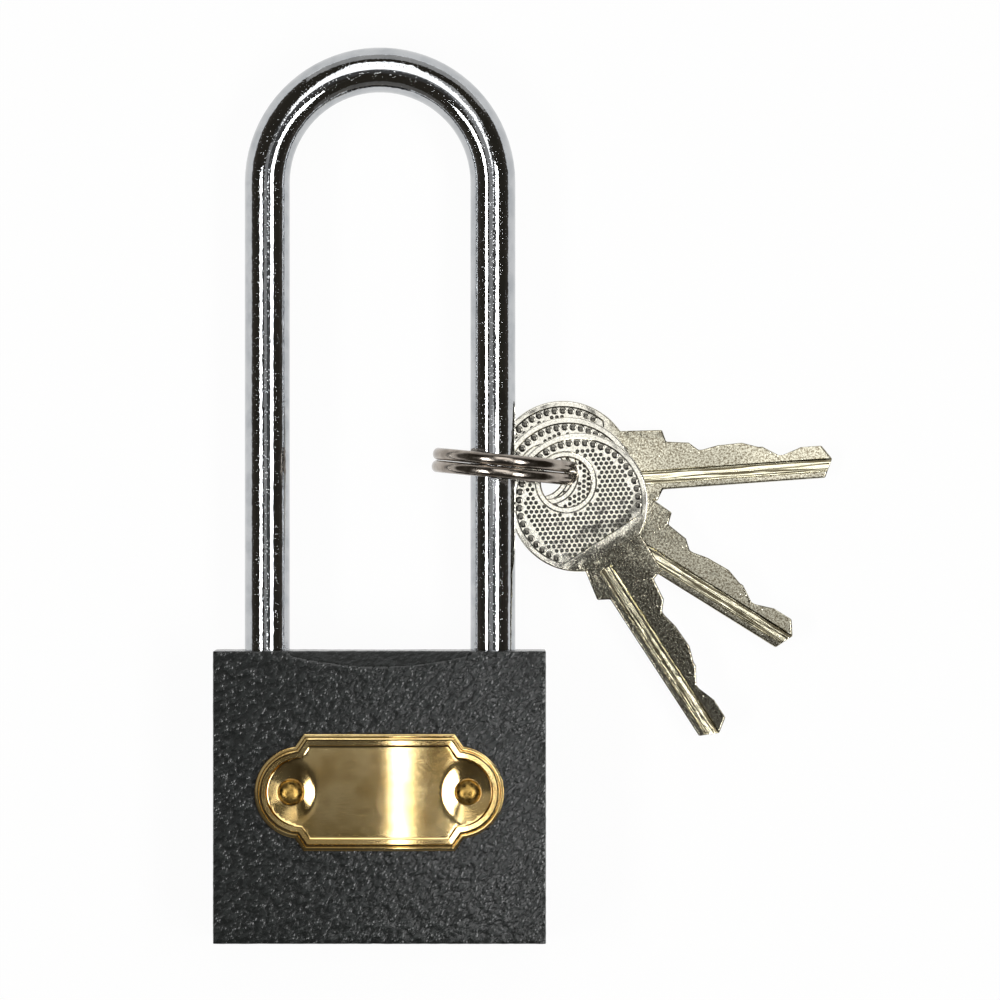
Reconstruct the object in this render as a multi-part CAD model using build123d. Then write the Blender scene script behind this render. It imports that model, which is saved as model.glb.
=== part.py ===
from build123d import *
import math
import os

# Long-shackle pin-tumbler padlock with three keys on a split ring, in millimetres.
# It lies on its back: X to the right, Y along the shackle, Z out of the front face.
# The origin is the centre of the back face. The lock is shut and its plug is turned to open.

# Body casting
body_width = 50.0
body_height = 44.0
body_thick = 21.0
body_edge = 0.6
scoop_half_width = 16.0
scoop_front = 2.4
scoop_top = 4.0

# Shackle
bar_dia = 6.8
leg_inset = 8.0
loop_height = 84.0
toe_beyond_notch = 2.7
heel_beyond_neck = 4.13
lift_clear = 0.5
bar_chamfer = 0.8
bar_clear = 0.2

# Keeper pin beside the heel leg
keeper_dia = 2.5
keeper_drop = 8.0
keeper_bite = 1.1
keeper_depth = 16.0
keeper_clear = 0.12

# Shackle spring under the heel leg
shackle_spring_room = 6.6
shackle_spring_wire = 0.8
shackle_spring_dia = 5.6

# Cylinder shell and plug
shell_dia = 16.4
face_recess = 0.4
plug_dia = 9.2
plug_offset = 2.2
plug_clear = 0.05
flange_dia = 10.6
flange_thick = 1.0
end_play = 0.1
shell_pin_dia = 2.5
shell_pin_depth = 15.0
shell_pin_y = -1.0

# Pin stacks, counted from the key's stop
pin_dia = 2.3
pin_clear = 0.05
first_pin = 6.1
pin_pitch = 3.02
pin_chamfer = 0.3
pin_tip = 0.45
shear_gap = 0.1
driver_length = 2.5
pin_spring_wire = 0.3
pin_spring_dia = 1.95
strip_thick = 0.8
strip_width = 3.4

# Tail cam and its screws
cam_dia = 10.4
cam_thick = 1.2
cam_pin_dia = 1.8
cam_pin_orbit = 2.2
cam_pin_grip = 2.1
cam_clear = 0.3
screw_dia = 1.4
screw_head_dia = 2.2
screw_head_height = 0.7
screw_length = 3.6
screw_reach = 2.8
screw_turn = 15.0

# Latch, its spring and the plug that shuts its bore
latch_dia = 7.7
latch_clear = 0.15
latch_web = 0.6
latch_nose = 3.4
latch_nose_height = 4.0
latch_nose_width = 5.0
latch_nose_land = 1.0
latch_withdrawn = 0.7
latch_wall = 1.6
latch_slot_clear = 0.15
latch_spring_room = 4.6
latch_spring_wire = 0.7
latch_spring_dia = 5.4
notch_depth = 2.8
notch_clear = 0.3
bore_plug_clear = 1.0

# Front plate and rivets
plate_half_height = 8.8
plate_half_flat = 11.35
plate_end_radius = 6.95
plate_end_offset = 11.8
plate_notch_x = 12.7
plate_notch_y = 6.85
plate_rise = 0.8
plate_thick = 0.6
border_width = 0.85
border_height = 0.6
border_chamfer = 0.25
step_width = 1.75
step_height = 0.25
dish_dia = 6.0
dish_depth = 0.25
rivet_spacing = 26.6
rivet_head_dia = 4.0
rivet_head_height = 1.4
rivet_dia = 2.0
rivet_length = 4.6

# Keys
key_thick = 1.6
bow_radius = 10.5
bow_rim = 0.9
bow_recess = 0.3
bow_band = 6.6
hole_radius = 3.75
hole_back = 3.6
hole_rim = 0.85
stop_reach = 14.9
spine_drop = 4.0
blade_root = 7.2
blade_land = 6.8
blade_length = 25.9
bitting = [5.6, 6.1, 6.2, 5.4, 3.9]
bit_flat = 0.6
land_ramp = 1.7
tip_ramp = 3.1
tip_land = 4.9
tip_cut = 1.5
tip_height = 2.8
tip_back = 1.3
shoulder_drop = 5.7
shoulder_rise = 5.0
shoulder_step = 1.0
neck_low = 3.1
neck_high = 5.7
groove_low = 1.0
groove_width = 1.9
groove_depth = 0.5
groove_run = 4.4
back_groove_low = 3.9
back_groove_width = 1.1
key_clear = 0.12

# Split ring and how the keys hang on it
ring_outer_dia = 22.0
ring_wire = 1.5
ring_sides = 8
ring_gap = 0.42
ring_lift = 0.1
ring_beyond_leg = 1.8
ring_along_leg = 27.6
ring_yaw = -5.7
ring_end = 18.0
ring_jog = 40.0
first_key_height = 1.9
key_gap = 0.1
hang_clear = 0.1
key_axes = [4.1, -32.0, -57.0]
key_hang = [195.0, 195.0, -78.0]

# Fits between pieces that are pressed or slid together
seat_clear = 0.03
coil_gap = 0.6
coil_clear = 0.05
spring_sides = 4

# Places that follow from the sizes
base_y = -body_height / 2
top_y = body_height / 2
mid_z = body_thick / 2
leg_spacing = body_width - 2 * leg_inset
toe_x = -leg_spacing / 2
heel_x = leg_spacing / 2
bar_radius = bar_dia / 2
bore_radius = bar_radius + bar_clear
bend_y = top_y + loop_height - leg_spacing / 2 + bar_radius
plug_z = mid_z - plug_offset
plug_radius = plug_dia / 2
flange_radius = flange_dia / 2
shell_radius = shell_dia / 2
shell_top_z = mid_z + shell_radius
face_y = base_y + face_recess
plug_end_y = face_y + blade_length + end_play
shell_end_y = plug_end_y - end_play
cam_end_y = plug_end_y + cam_thick
cam_radius = cam_dia / 2
pin_places = [face_y + first_pin + n * pin_pitch for n in range(len(bitting))]
pin_radius = pin_dia / 2
pin_bore = pin_radius + pin_clear
driver_z = plug_z + plug_radius + shear_gap
strip_z = shell_top_z - strip_thick
latch_radius = latch_dia / 2
latch_bore = latch_radius + latch_clear
latch_y = cam_end_y + screw_head_height + 2 * cam_clear + latch_web + latch_bore
notch_half_height = latch_nose_height / 2 + notch_clear
toe_tip_y = latch_y - notch_half_height - toe_beyond_notch
shackle_lift = top_y - toe_tip_y + lift_clear
latch_travel = cam_pin_orbit * math.sqrt(2)
nose_tip_x = toe_x + bar_radius + latch_withdrawn
latch_front_x = nose_tip_x + latch_nose
cam_pin_x = latch_travel / 2
cam_pin_z = plug_z + latch_travel / 2
cam_pin_radius = cam_pin_dia / 2
cam_pin_end_y = latch_y - latch_radius + cam_pin_grip
slot_end_x = cam_pin_x + cam_pin_radius + latch_slot_clear
slot_start_x = cam_pin_x - cam_pin_radius - latch_slot_clear - latch_travel
latch_back_x = slot_end_x + latch_wall
latch_bore_end_x = latch_back_x + latch_spring_room
bore_plug_end_x = toe_x - bore_radius - bore_plug_clear
keeper_radius = keeper_dia / 2
keeper_x = heel_x - bar_radius + keeper_bite - keeper_clear - keeper_radius
keeper_y = top_y - keeper_drop
neck_half_height = keeper_radius + keeper_clear
neck_y = keeper_y - shackle_lift
heel_tip_y = neck_y - neck_half_height - heel_beyond_neck
heel_floor_y = heel_tip_y - shackle_spring_room
shell_pin_radius = shell_pin_dia / 2
plate_z = body_thick + plate_thick
rivet_seat_z = plate_z - dish_depth
rivet_radius = rivet_dia / 2
rivet_places = [(-rivet_spacing / 2, plate_rise), (rivet_spacing / 2, plate_rise)]
ring_radius = (ring_outer_dia - ring_wire) / 2
ring_pitch = ring_wire + ring_gap
ring_along = Vector(math.cos(math.radians(ring_yaw)), math.sin(math.radians(ring_yaw)), 0)
ring_across = Vector(-ring_along.Y, ring_along.X, 0)
ring_centre = Vector(heel_x + ring_beyond_leg, top_y + ring_along_leg, ring_outer_dia / 2 + ring_lift)

bottom = (Align.CENTER, Align.CENTER, Align.MIN)


def along_x(radius, start, end, y, z):
    return Pos(start, y, z) * Rot(0, 90, 0) * Cylinder(radius, end - start, align=bottom)


def along_y(radius, start, end, x, z):
    return Pos(x, start, z) * Rot(-90, 0, 0) * Cylinder(radius, end - start, align=bottom)


def along_z(radius, start, end, x, y):
    return Pos(x, y, start) * Cylinder(radius, end - start, align=bottom)


def block(start, end):
    size = [b - a for a, b in zip(start, end)]
    middle = [(a + b) / 2 for a, b in zip(start, end)]
    return Pos(*middle) * Box(*size)


def turned(shape):
    # The quarter turn of the plug from locked to open.
    return shape.rotate(Axis((0, 0, plug_z), (0, 1, 0)), 90)


def biarc(start, start_way, end, end_way):
    # Two arcs that leave the start and reach the end along the given directions.
    chord = end - start
    a = 2 - 2 * start_way.dot(end_way)
    b = 2 * chord.dot(start_way + end_way)
    c = -chord.dot(chord)
    reach = (math.sqrt(b * b - 4 * a * c) - b) / (2 * a)
    first = start + start_way * reach
    second = end - end_way * reach
    joint = (first + second) * 0.5
    return [
        TangentArc(start, joint, tangent=start_way),
        TangentArc(joint, end, tangent=(second - first).normalized()),
    ]


def wind(stations, wire, sides, name):
    # One unbroken tube through stations of (point, direction), with its least gap to itself.
    arcs = []
    for (start, start_way), (end, end_way) in zip(stations, stations[1:]):
        arcs += biarc(start, start_way, end, end_way)
    path = Wire(arcs)
    start, way = stations[0]
    section = Plane(origin=start, z_dir=way) * RegularPolygon(wire / 2, sides)
    tube = sweep(section, path=path)
    points = [path.position_at(n / 240) for n in range(241)]
    steps = path.length / 240
    apart = int(math.ceil(4 * wire / steps))
    gaps = [(b - a).length for n, a in enumerate(points) for b in points[n + apart:]]
    print(f"{name}: least gap between turns {min(gaps) - wire:.2f} mm")
    return tube


def coil(outer_dia, wire, room, name):
    # A compression spring that stands on the XY plane round Z, in quarter turns.
    radius = (outer_dia - wire) / 2
    length = room - 2 * coil_clear
    quarters = int(4 * (length - wire) / (wire + coil_gap))
    rise = (length - wire) / quarters
    stations = []
    for n in range(quarters + 1):
        angle = math.pi / 2 * n
        point = Vector(radius * math.cos(angle), radius * math.sin(angle), coil_clear + wire / 2 + n * rise)
        way = Vector(-radius * math.sin(angle), radius * math.cos(angle), rise * 2 / math.pi)
        stations.append((point, way.normalized()))
    return wind(stations, wire, spring_sides, name)


def body_casting():
    casting = Pos(0, 0, mid_z) * Box(body_width, body_height, body_thick)
    casting = fillet(casting.edges(), body_edge)
    # A shallow crescent is ground off the top edge between the legs, front and back.
    slope = math.hypot(scoop_front, scoop_top)
    depth = scoop_front * scoop_top / slope
    radius = (scoop_half_width**2 + depth**2) / (2 * depth)
    out = Vector(0, scoop_top, scoop_front) / slope
    centre = Vector(0, top_y - scoop_front, body_thick) + out * radius
    scoop = Plane(origin=centre, z_dir=(0, scoop_front, -scoop_top)) * Cylinder(radius, 6 * slope)
    casting -= scoop + scoop.mirror(Plane.XY.offset(mid_z))
    casting -= along_y(bore_radius, toe_tip_y - coil_gap, top_y + 1, toe_x, mid_z)
    casting -= along_y(bore_radius, heel_floor_y, top_y + 1, heel_x, mid_z)
    casting -= along_y(shell_radius + seat_clear, base_y - 1, shell_end_y, 0, mid_z)
    pocket_end_y = cam_end_y + screw_head_height + cam_clear
    casting -= along_y(cam_radius + cam_clear, shell_end_y, pocket_end_y, 0, plug_z)
    orbit = cam_pin_orbit + cam_pin_radius + cam_clear
    casting -= along_y(orbit, pocket_end_y, latch_y, 0, plug_z)
    casting -= along_x(latch_bore, -body_width / 2 - 1, latch_bore_end_x, latch_y, mid_z)
    casting -= along_z(keeper_radius + seat_clear, -1, keeper_depth, keeper_x, keeper_y)
    pin_end_z = body_thick - shell_pin_depth
    casting -= along_z(shell_pin_radius + seat_clear, pin_end_z, body_thick + 1, shell_radius, shell_pin_y)
    for x, y in rivet_places:
        casting -= along_z(rivet_radius + seat_clear, body_thick - rivet_length, body_thick + 1, x, y)
    return casting


def shackle():
    bend = ThreePointArc((heel_x, bend_y, mid_z), (0, bend_y + leg_spacing / 2, mid_z), (toe_x, bend_y, mid_z))
    heel_line = Line((heel_x, heel_tip_y, mid_z), (heel_x, bend_y, mid_z))
    toe_line = Line((toe_x, bend_y, mid_z), (toe_x, toe_tip_y, mid_z))
    section = Plane(origin=(heel_x, heel_tip_y, mid_z), z_dir=(0, 1, 0)) * Circle(bar_radius)
    bar = sweep(section, path=Wire([heel_line, bend, toe_line]))
    tips = bar.edges().filter_by(GeomType.CIRCLE).sort_by(Axis.Y)
    tips = [edge for edge in tips if edge.center().Y < toe_tip_y + 1e-3]
    bar = chamfer(tips, bar_chamfer)
    # The toe's notch takes the latch.
    notch_x = toe_x + bar_radius - notch_depth
    notch_start = (notch_x, latch_y - notch_half_height, 0)
    bar -= block(notch_start, (toe_x + bar_dia, latch_y + notch_half_height, body_thick))
    # The heel's flat runs past the keeper pin, down to the neck that the open shackle turns on.
    flat_x = heel_x - bar_radius + keeper_bite
    neck_low_y = neck_y - neck_half_height
    neck_high_y = neck_y + neck_half_height
    bar -= block((heel_x - bar_dia, neck_low_y, 0), (flat_x, keeper_y + neck_half_height, body_thick))
    neck = along_y(bar_dia, neck_low_y, neck_high_y, heel_x, mid_z)
    neck -= along_y(bar_radius - keeper_bite, neck_low_y, neck_high_y, heel_x, mid_z)
    return bar - neck


def plate_outline():
    corners = [
        (plate_half_flat, plate_half_height),
        (plate_notch_x, plate_notch_y),
        (plate_notch_x, -plate_notch_y),
        (plate_half_flat, -plate_half_height),
    ]
    corners += [(-x, y) for x, y in reversed(corners)]
    outline = make_face(Polyline(*corners, close=True))
    for x in (-plate_end_offset, plate_end_offset):
        outline += Pos(x, 0) * Circle(plate_end_radius)
    return outline


def front_plate():
    outline = plate_outline()
    border = outline - offset(outline, -border_width, kind=Kind.INTERSECTION)
    step = outline - offset(outline, -step_width, kind=Kind.INTERSECTION)
    plate = extrude(outline, plate_thick)
    plate += extrude(step, plate_thick + step_height)
    plate += extrude(border, plate_thick + border_height)
    plate = Pos(0, plate_rise, body_thick) * plate
    plate = chamfer(plate.faces().sort_by(Axis.Z)[-1].edges(), border_chamfer)
    for x, y in rivet_places:
        dish = Cone(rivet_head_dia / 2, dish_dia / 2, dish_depth, align=bottom)
        plate -= Pos(x, y, rivet_seat_z) * dish
        plate -= along_z(rivet_radius + seat_clear, body_thick - 1, plate_z + 1, x, y)
    return plate


def plate_rivets():
    dome = (rivet_head_dia**2 / 4 + rivet_head_height**2) / (2 * rivet_head_height)
    rivets = []
    for x, y in rivet_places:
        ball = Pos(x, y, rivet_seat_z + rivet_head_height - dome) * Sphere(dome)
        head = ball & along_z(rivet_head_dia, rivet_seat_z, rivet_seat_z + dome, x, y)
        rivets.append(head + along_z(rivet_radius, body_thick - rivet_length, rivet_seat_z, x, y))
    return Compound(rivets)


def strip_space(clear):
    half = strip_width / 2 + clear
    start_y = pin_places[0] - pin_pitch / 2 - clear
    end_y = pin_places[-1] + pin_pitch / 2 + clear
    return block((-half, start_y, strip_z), (half, end_y, shell_top_z + 1))


def cylinder_shell():
    shell = along_y(shell_radius, face_y, shell_end_y, 0, mid_z)
    shell -= along_y(plug_radius + plug_clear, face_y - 1, shell_end_y + 1, 0, plug_z)
    shell -= along_y(flange_radius + plug_clear, face_y - 1, face_y + flange_thick + plug_clear, 0, plug_z)
    for y in pin_places:
        shell -= along_z(pin_bore, plug_z, shell_top_z + 1, 0, y)
    shell -= strip_space(seat_clear)
    return shell - along_z(shell_pin_radius + seat_clear, 0, body_thick, shell_radius, shell_pin_y)


def pin_cover_strip():
    return strip_space(0) & along_y(shell_radius, face_y, shell_end_y, 0, mid_z)


def blade_groove(start, low_edge, width, depth, face):
    # A milled groove along the blade, on the front face (1) or the back face (-1).
    far = face * key_thick
    near = face * (key_thick / 2 - depth)
    low_v = low_edge - spine_drop
    return block((start, low_v, min(near, far)), (stop_reach + 2 * blade_length, low_v + width, max(near, far)))


def keyway():
    # The blade's cross-section with clearance, and wards that fill its grooves.
    half = key_thick / 2 + key_clear
    slot = block((0, -spine_drop - key_clear, -half), (blade_length + 1, blade_root - spine_drop + key_clear, half))
    for low_edge, width, face in ((groove_low, groove_width, 1), (back_groove_low, back_groove_width, -1)):
        depth = groove_depth - 2 * key_clear
        slot -= blade_groove(-1, low_edge + key_clear, width - 2 * key_clear, depth, face)
    return slot


def in_plug(shape):
    # From the key's frame (blade along X, cuts up Y) to the locked plug's.
    return Plane(origin=(0, face_y, plug_z), x_dir=(0, 1, 0), z_dir=(1, 0, 0)) * shape


def screw_places():
    lean = math.radians(screw_turn)
    return [(-side * screw_reach * math.sin(lean), plug_z + side * screw_reach * math.cos(lean)) for side in (1, -1)]


def plug():
    core = along_y(plug_radius, face_y, plug_end_y, 0, plug_z)
    core += along_y(flange_radius, face_y, face_y + flange_thick, 0, plug_z)
    core -= in_plug(keyway())
    for y, bit in zip(pin_places, bitting):
        core -= along_z(pin_bore, plug_z + bit - spine_drop - pin_tip, plug_z + plug_dia, 0, y)
    core = turned(core)
    for x, z in screw_places():
        core -= along_y(screw_dia / 2 + seat_clear, cam_end_y - screw_length, plug_end_y + 1, x, z)
    return core


def tumbler_pin(y, low_z, high_z, tip):
    pin = along_z(pin_radius, low_z, high_z, 0, y)
    rims = pin.edges().filter_by(GeomType.CIRCLE).sort_by(Axis.Z)
    pin = chamfer(rims[-1], pin_chamfer)
    rims = pin.edges().filter_by(GeomType.CIRCLE).sort_by(Axis.Z)
    return chamfer(rims[0], tip)


def tail_cam():
    cam = along_y(cam_radius, plug_end_y, cam_end_y, 0, plug_z)
    cam += along_y(cam_pin_radius, plug_end_y, cam_pin_end_y, cam_pin_x, cam_pin_z)
    for x, z in screw_places():
        cam -= along_y(screw_dia / 2 + seat_clear, plug_end_y - 1, cam_end_y + 1, x, z)
    return cam


def cam_screws():
    screws = []
    for x, z in screw_places():
        shank = along_y(screw_dia / 2, cam_end_y - screw_length, cam_end_y, x, z)
        screws.append(shank + along_y(screw_head_dia / 2, cam_end_y, cam_end_y + screw_head_height, x, z))
    return Compound(screws)


def latch():
    bar = along_x(latch_radius, latch_front_x, latch_back_x, latch_y, mid_z)
    low_y = latch_y - latch_nose_height / 2
    high_y = latch_y + latch_nose_height / 2
    wedge = make_face(
        Polyline(
            (latch_front_x + 1, low_y),
            (nose_tip_x, low_y),
            (nose_tip_x, low_y + latch_nose_land),
            (latch_front_x, high_y),
            (latch_front_x + 1, high_y),
            close=True,
        )
    )
    bar += Pos(0, 0, mid_z - latch_nose_width / 2) * extrude(wedge, latch_nose_width)
    # The cam's pin works in a slot long enough for the latch to spring back when the shackle is slammed.
    clear = cam_pin_radius + latch_slot_clear
    slot_start = (slot_start_x, latch_y - latch_dia, cam_pin_z - clear)
    slot_end = (slot_end_x, cam_pin_end_y + latch_slot_clear, plug_z + cam_pin_orbit + clear)
    return bar - block(slot_start, slot_end)


def key_outline():
    tip = stop_reach + blade_length
    points = [
        (0, -neck_low),
        (stop_reach - shoulder_step, -shoulder_drop),
        (stop_reach, -spine_drop),
        (tip - tip_back, -spine_drop),
        (tip, tip_height - spine_drop),
        (tip - tip_cut, tip_land - spine_drop),
        (stop_reach + first_pin + (len(bitting) - 1) * pin_pitch + tip_ramp, tip_land - spine_drop),
    ]
    for n, bit in reversed(list(enumerate(bitting))):
        place = stop_reach + first_pin + n * pin_pitch
        points.append((place + bit_flat / 2, bit - spine_drop))
        points.append((place - bit_flat / 2, bit - spine_drop))
    points += [
        (stop_reach + first_pin - land_ramp, blade_land - spine_drop),
        (stop_reach + shoulder_step, blade_root - spine_drop),
        (stop_reach + shoulder_step / 2, shoulder_rise),
        (0, neck_high),
    ]
    return make_face(Polyline(*points, close=True)) + Circle(bow_radius)


def key():
    blank = Pos(0, 0, -key_thick / 2) * extrude(key_outline(), key_thick)
    blank -= Pos(-hole_back, 0, 0) * Cylinder(hole_radius, 2 * key_thick)
    # Both faces of the bow are sunk inside a rim, up to a straight band before the neck.
    field = Circle(bow_radius - bow_rim) - Pos(bow_band + bow_radius, 0) * Rectangle(2 * bow_radius, 4 * bow_radius)
    field -= Pos(-hole_back, 0) * Circle(hole_radius + hole_rim)
    sunk = extrude(field, bow_recess)
    blank -= Pos(0, 0, key_thick / 2 - bow_recess) * sunk
    blank -= Pos(0, 0, -key_thick / 2) * sunk
    blank -= blade_groove(stop_reach - groove_run, groove_low, groove_width, groove_depth, 1)
    return blank - blade_groove(stop_reach - groove_run, back_groove_low, back_groove_width, groove_depth, -1)


def ring_point(angle, side):
    turn = math.radians(angle)
    out = ring_along * math.cos(turn) + Vector(0, 0, math.sin(turn))
    way = Vector(0, 0, math.cos(turn)) - ring_along * math.sin(turn)
    return ring_centre + out * ring_radius + ring_across * side, way


def split_ring():
    # Two flat turns side by side, joined by a short jog, with a free end on each side of it.
    stations = []
    quarter = (360 - ring_jog) / 4
    for turn, side in ((0, -ring_pitch / 2), (1, ring_pitch / 2)):
        stations += [ring_point(ring_end + 360 * turn + quarter * n, side) for n in range(5)]
    return wind(stations, ring_wire, ring_sides, "split_ring")


def key_place(n):
    # The ring bears on the rim of the key's hole, wherever the key swings about the wire.
    middle = first_key_height + key_thick / 2 + n * (key_thick + key_gap)
    lean = math.asin((middle - ring_centre.Z) / ring_radius)
    wire, _ = ring_point(math.degrees(lean), 0)
    width = ring_wire / math.cos(lean) + key_thick * abs(math.tan(lean))
    hang = hole_radius - math.hypot(width, ring_pitch + ring_wire) / 2 - hang_clear
    way = math.radians(key_hang[n])
    print(f"key_{n + 1}_swing axis through x {wire.X:.3f} y {wire.Y:.3f} z {middle:.3f}")
    return Pos(wire.X + hang * math.cos(way), wire.Y + hang * math.sin(way), middle) * Rot(0, 0, key_axes[n])


nodes = {
    "body_casting": body_casting(),
    "shackle": shackle(),
    "front_plate": front_plate(),
    "plate_rivets": plate_rivets(),
    "cylinder_shell": cylinder_shell(),
    "pin_cover_strip": pin_cover_strip(),
    "plug": plug(),
    "tail_cam": tail_cam(),
    "cam_screws": cam_screws(),
    "latch": latch(),
    "latch_bore_plug": along_x(
        latch_bore - seat_clear, -body_width / 2, bore_plug_end_x, latch_y, mid_z
    ),
    "shackle_keeper_pin": along_z(keeper_radius, 0, keeper_depth, keeper_x, keeper_y),
    "cylinder_pin": along_z(
        shell_pin_radius, body_thick - shell_pin_depth, body_thick, shell_radius, shell_pin_y
    ),
    "split_ring": split_ring(),
}
for number, (y, bit) in enumerate(zip(pin_places, bitting), 1):
    cut_z = plug_z + bit - spine_drop
    spring_z = driver_z + driver_length
    nodes[f"key_pin_{number}"] = turned(tumbler_pin(y, cut_z, plug_z + plug_radius - shear_gap, pin_tip))
    nodes[f"driver_pin_{number}"] = tumbler_pin(y, driver_z, spring_z, pin_chamfer)
    pin_spring = coil(pin_spring_dia, pin_spring_wire, strip_z - spring_z, f"pin_spring_{number}")
    nodes[f"pin_spring_{number}"] = Pos(0, y, spring_z) * pin_spring
shackle_spring = coil(shackle_spring_dia, shackle_spring_wire, shackle_spring_room, "shackle_spring")
nodes["shackle_spring"] = Pos(heel_x, heel_floor_y, mid_z) * Rot(-90, 0, 0) * shackle_spring
latch_spring = coil(latch_spring_dia, latch_spring_wire, latch_spring_room, "latch_spring")
nodes["latch_spring"] = Pos(latch_back_x, latch_y, mid_z) * Rot(0, 90, 0) * latch_spring
for number in (1, 2, 3):
    nodes[f"key_{number}"] = key_place(number - 1) * Pos(hole_back, 0, 0) * key()

os.makedirs("parts", exist_ok=True)
for name, shape in nodes.items():
    export_step(shape, f"parts/{name}.step")
print(f"latch travel {latch_travel:.3f} mm, latch at y {latch_y:.3f}, {len(nodes)} nodes")
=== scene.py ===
import bpy
import bmesh
import math
from mathutils import Matrix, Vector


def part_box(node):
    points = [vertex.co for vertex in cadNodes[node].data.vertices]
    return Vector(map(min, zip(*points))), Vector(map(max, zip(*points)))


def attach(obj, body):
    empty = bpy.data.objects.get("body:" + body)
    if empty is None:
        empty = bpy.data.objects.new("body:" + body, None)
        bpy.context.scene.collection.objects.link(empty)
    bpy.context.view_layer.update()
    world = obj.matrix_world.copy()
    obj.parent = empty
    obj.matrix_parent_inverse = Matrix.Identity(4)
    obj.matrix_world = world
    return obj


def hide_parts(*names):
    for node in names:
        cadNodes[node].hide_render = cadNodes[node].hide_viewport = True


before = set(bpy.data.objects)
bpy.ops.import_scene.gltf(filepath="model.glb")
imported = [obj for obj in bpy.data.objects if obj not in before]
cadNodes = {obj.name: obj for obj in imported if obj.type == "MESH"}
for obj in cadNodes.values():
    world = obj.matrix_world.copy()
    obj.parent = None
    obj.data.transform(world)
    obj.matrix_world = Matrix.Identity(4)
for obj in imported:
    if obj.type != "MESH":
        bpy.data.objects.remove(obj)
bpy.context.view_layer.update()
bpy.ops.object.select_all(action="DESELECT")
mm = 0.001  # the notes and dictionaries here are in millimetres


def linear(hexCode):
    # sRGB hex to the linear colour that sockets take
    parts = [int(hexCode[n:n + 2], 16) / 255 for n in (1, 3, 5)]
    return [c / 12.92 if c <= 0.04045 else ((c + 0.055) / 1.055) ** 2.4 for c in parts] + [1.0]


def addNode(tree, kind, inputs=None, stops=None, **settings):
    # one node; an input is a plain value or another node's output, stops are a ramp's places and colours
    node = tree.nodes.new(kind)
    for name, value in settings.items():
        setattr(node, name, value)
    for name, value in (inputs or {}).items():
        if isinstance(value, bpy.types.NodeSocket):
            tree.links.new(value, node.inputs[name])
        else:
            node.inputs[name].default_value = value
    for n, (place, colour) in enumerate(stops or []):
        element = node.color_ramp.elements[n] if n < 2 else node.color_ramp.elements.new(place)
        element.position = place
        element.color = colour
    return node


def newMaterial(name, sockets):
    # a Principled material, with what is the same all over set on the shader itself
    material = bpy.data.materials.new(name)
    material.use_nodes = True
    tree = material.node_tree
    shader = tree.nodes["Principled BSDF"]
    for socket, value in sockets.items():
        shader.inputs[socket].default_value = value
    place = addNode(tree, "ShaderNodeTexCoord").outputs["Object"]
    return material, tree, shader, place


def focus(obj):
    bpy.ops.object.select_all(action="DESELECT")
    obj.select_set(True)
    bpy.context.view_layer.objects.active = obj


def edit(obj, kind="FACE"):
    focus(obj)
    bpy.ops.object.mode_set(mode="EDIT")
    bpy.ops.mesh.select_mode(type=kind)
    bpy.ops.mesh.select_all(action="DESELECT")


def leaveEdit():
    bpy.ops.object.mode_set(mode="OBJECT")


def pick(obj, part, test):
    # in edit mode, selects the verts, edges or faces that pass the test
    bpy.ops.mesh.select_all(action="DESELECT")
    mesh = bmesh.from_edit_mesh(obj.data)
    for item in getattr(mesh, part):
        if test(item):
            item.select_set(True)
    mesh.select_flush_mode()
    bmesh.update_edit_mesh(obj.data)


def modify(obj, kind, **settings):
    focus(obj)
    modifier = obj.modifiers.new(kind, kind)
    for name, value in settings.items():
        setattr(modifier, name, value)
    bpy.ops.object.modifier_apply(modifier=modifier.name)


def settle(obj, name):
    # puts the object's place into its mesh
    focus(obj)
    bpy.ops.object.transform_apply(location=True, rotation=True, scale=True)
    obj.name = name
    obj.data.name = name
    return obj


def closeUp(obj):
    # merges doubles and turns all faces outwards
    edit(obj)
    bpy.ops.mesh.select_all(action="SELECT")
    bpy.ops.mesh.remove_doubles(threshold=0.0005 * mm)
    bpy.ops.mesh.normals_make_consistent(inside=False)
    leaveEdit()


def copyNode(nodeName, pieceName):
    # a merged copy of a CAD node with its flat faces whole again; the node itself stays as it is
    piece = bpy.data.objects.new(pieceName, cadNodes[nodeName].data.copy())
    bpy.context.scene.collection.objects.link(piece)
    piece.data.materials.clear()
    focus(piece)
    bpy.ops.mesh.customdata_custom_splitnormals_clear()
    edit(piece)
    bpy.ops.mesh.select_all(action="SELECT")
    bpy.ops.mesh.remove_doubles(threshold=0.002 * mm)
    bpy.ops.mesh.dissolve_limited(angle_limit=math.radians(0.3))
    leaveEdit()
    return piece


def raiseRound(name, sides, centre, profile):
    # a round piece raised from a disc, one (radius, height) after another
    (radius, height), *steps = profile
    middle = [c * mm for c in centre]
    bpy.ops.mesh.primitive_circle_add(vertices=sides, radius=radius * mm, fill_type="NGON",
                                      location=(middle[0], middle[1], middle[2] + height * mm))
    piece = settle(bpy.context.object, name)
    edit(piece)
    bpy.ops.mesh.select_all(action="SELECT")
    for nextRadius, nextHeight in steps:
        rise = (0, 0, (nextHeight - height) * mm)
        bpy.ops.mesh.extrude_region_move(TRANSFORM_OT_translate={"value": rise})
        shrink = nextRadius / radius
        bpy.ops.transform.resize(value=(shrink, shrink, 1), center_override=middle)
        radius, height = nextRadius, nextHeight
    leaveEdit()
    closeUp(piece)
    return piece


def joinInto(piece, others):
    focus(piece)
    for other in others:
        other.select_set(True)
    bpy.ops.object.join()
    return piece


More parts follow.
